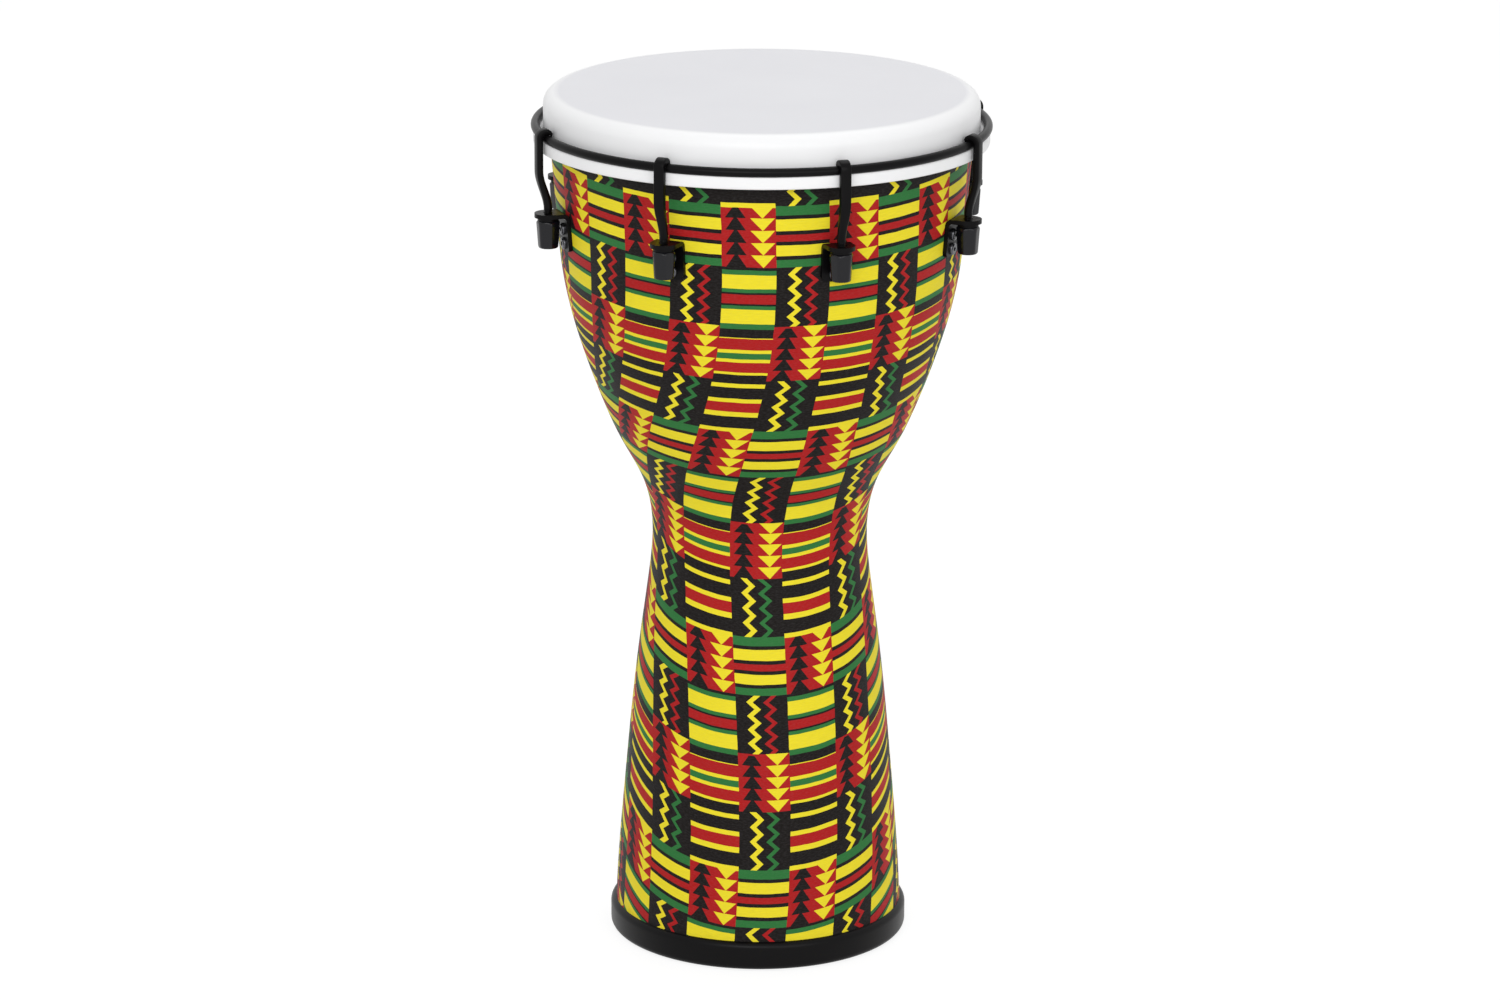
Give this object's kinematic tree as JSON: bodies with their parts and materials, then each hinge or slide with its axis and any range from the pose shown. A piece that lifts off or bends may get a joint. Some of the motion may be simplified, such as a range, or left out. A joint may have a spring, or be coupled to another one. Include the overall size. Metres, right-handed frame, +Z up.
{
  "type": "djembe",
  "caption": "Goblet hand drum with a synthetic shell in printed strip-woven pattern fabric, a film head tuned by hooks and nuts on brackets, and a rubber foot ring.",
  "frame": {"origin": "centre of the foot's underside, on the floor", "axes": "+Z up along the drum's axis; -Y is the front; the lugs count anticlockwise seen from above, from the one 24.9 degrees left of the front"},
  "size_m": [0.3222, 0.3222, 0.6138],
  "materials": {
    "shell_plastic": "moulded synthetic shell, bare inside",
    "printed_fabric": "printed fabric bonded to the shell and lacquered",
    "foot_rubber": "satin black rubber",
    "head_film": "coated white film",
    "hoop_white": "white",
    "black_steel": "black powder coat",
    "bolt_steel": "black zinc plated"
  },
  "bodies": {
    "drum_body": {"shell": "shell_plastic", "fabric_cover": "printed_fabric", "foot_ring": "foot_rubber", "nut_washers": "black_steel", "bracket_bolts": "bolt_steel", "bracket_backing_plates": "bolt_steel", "bracket_lock_nuts": "bolt_steel", "lug_bracket_1": "black_steel", "lug_bracket_2": "black_steel", "lug_bracket_3": "black_steel", "lug_bracket_4": "black_steel", "lug_bracket_5": "black_steel", "lug_bracket_6": "black_steel", "lug_bracket_7": "black_steel", "lug_bracket_8": "black_steel"},
    "head_assembly": {"drum_head": "head_film", "flesh_hoop": "hoop_white", "tuning_ring": "black_steel", "tuning_hook_1": "black_steel", "tuning_hook_2": "black_steel", "tuning_hook_3": "black_steel", "tuning_hook_4": "black_steel", "tuning_hook_5": "black_steel", "tuning_hook_6": "black_steel", "tuning_hook_7": "black_steel", "tuning_hook_8": "black_steel"},
    "nut_1": {"tuning_nut_1": "black_steel"},
    "nut_2": {"tuning_nut_2": "black_steel"},
    "nut_3": {"tuning_nut_3": "black_steel"},
    "nut_4": {"tuning_nut_4": "black_steel"},
    "nut_5": {"tuning_nut_5": "black_steel"},
    "nut_6": {"tuning_nut_6": "black_steel"},
    "nut_7": {"tuning_nut_7": "black_steel"},
    "nut_8": {"tuning_nut_8": "black_steel"}
  },
  "joints": [
    {"name": "head_rise", "type": "slide", "parent": "drum_body", "child": "head_assembly", "axis": [0, 0, 1], "range_m": [0, 0.006]},
    {"name": "nut_1_turn", "type": "hinge", "parent": "drum_body", "child": "nut_1", "pos_m": [-0.0661, -0.14241, 0.533], "axis": [0, 0, -1], "range_deg": [0, 2160]},
    {"name": "nut_2_turn", "type": "hinge", "parent": "drum_body", "child": "nut_2", "pos_m": [0.05396, -0.14744, 0.533], "axis": [0, 0, -1], "range_deg": [0, 2160]},
    {"name": "nut_3_turn", "type": "hinge", "parent": "drum_body", "child": "nut_3", "pos_m": [0.14241, -0.0661, 0.533], "axis": [0, 0, -1], "range_deg": [0, 2160]},
    {"name": "nut_4_turn", "type": "hinge", "parent": "drum_body", "child": "nut_4", "pos_m": [0.14744, 0.05396, 0.533], "axis": [0, 0, -1], "range_deg": [0, 2160]},
    {"name": "nut_5_turn", "type": "hinge", "parent": "drum_body", "child": "nut_5", "pos_m": [0.0661, 0.14241, 0.533], "axis": [0, 0, -1], "range_deg": [0, 2160]},
    {"name": "nut_6_turn", "type": "hinge", "parent": "drum_body", "child": "nut_6", "pos_m": [-0.05396, 0.14744, 0.533], "axis": [0, 0, -1], "range_deg": [0, 2160]},
    {"name": "nut_7_turn", "type": "hinge", "parent": "drum_body", "child": "nut_7", "pos_m": [-0.14241, 0.0661, 0.533], "axis": [0, 0, -1], "range_deg": [0, 2160]},
    {"name": "nut_8_turn", "type": "hinge", "parent": "drum_body", "child": "nut_8", "pos_m": [-0.14744, -0.05396, 0.533], "axis": [0, 0, -1], "range_deg": [0, 2160]}
  ],
  "couplings": [
    {"joint": "nut_1_turn", "follows": "head_rise", "rad_per_m": 6283.2},
    {"joint": "nut_2_turn", "follows": "head_rise", "rad_per_m": 6283.2},
    {"joint": "nut_3_turn", "follows": "head_rise", "rad_per_m": 6283.2},
    {"joint": "nut_4_turn", "follows": "head_rise", "rad_per_m": 6283.2},
    {"joint": "nut_5_turn", "follows": "head_rise", "rad_per_m": 6283.2},
    {"joint": "nut_6_turn", "follows": "head_rise", "rad_per_m": 6283.2},
    {"joint": "nut_7_turn", "follows": "head_rise", "rad_per_m": 6283.2},
    {"joint": "nut_8_turn", "follows": "head_rise", "rad_per_m": 6283.2}
  ]
}
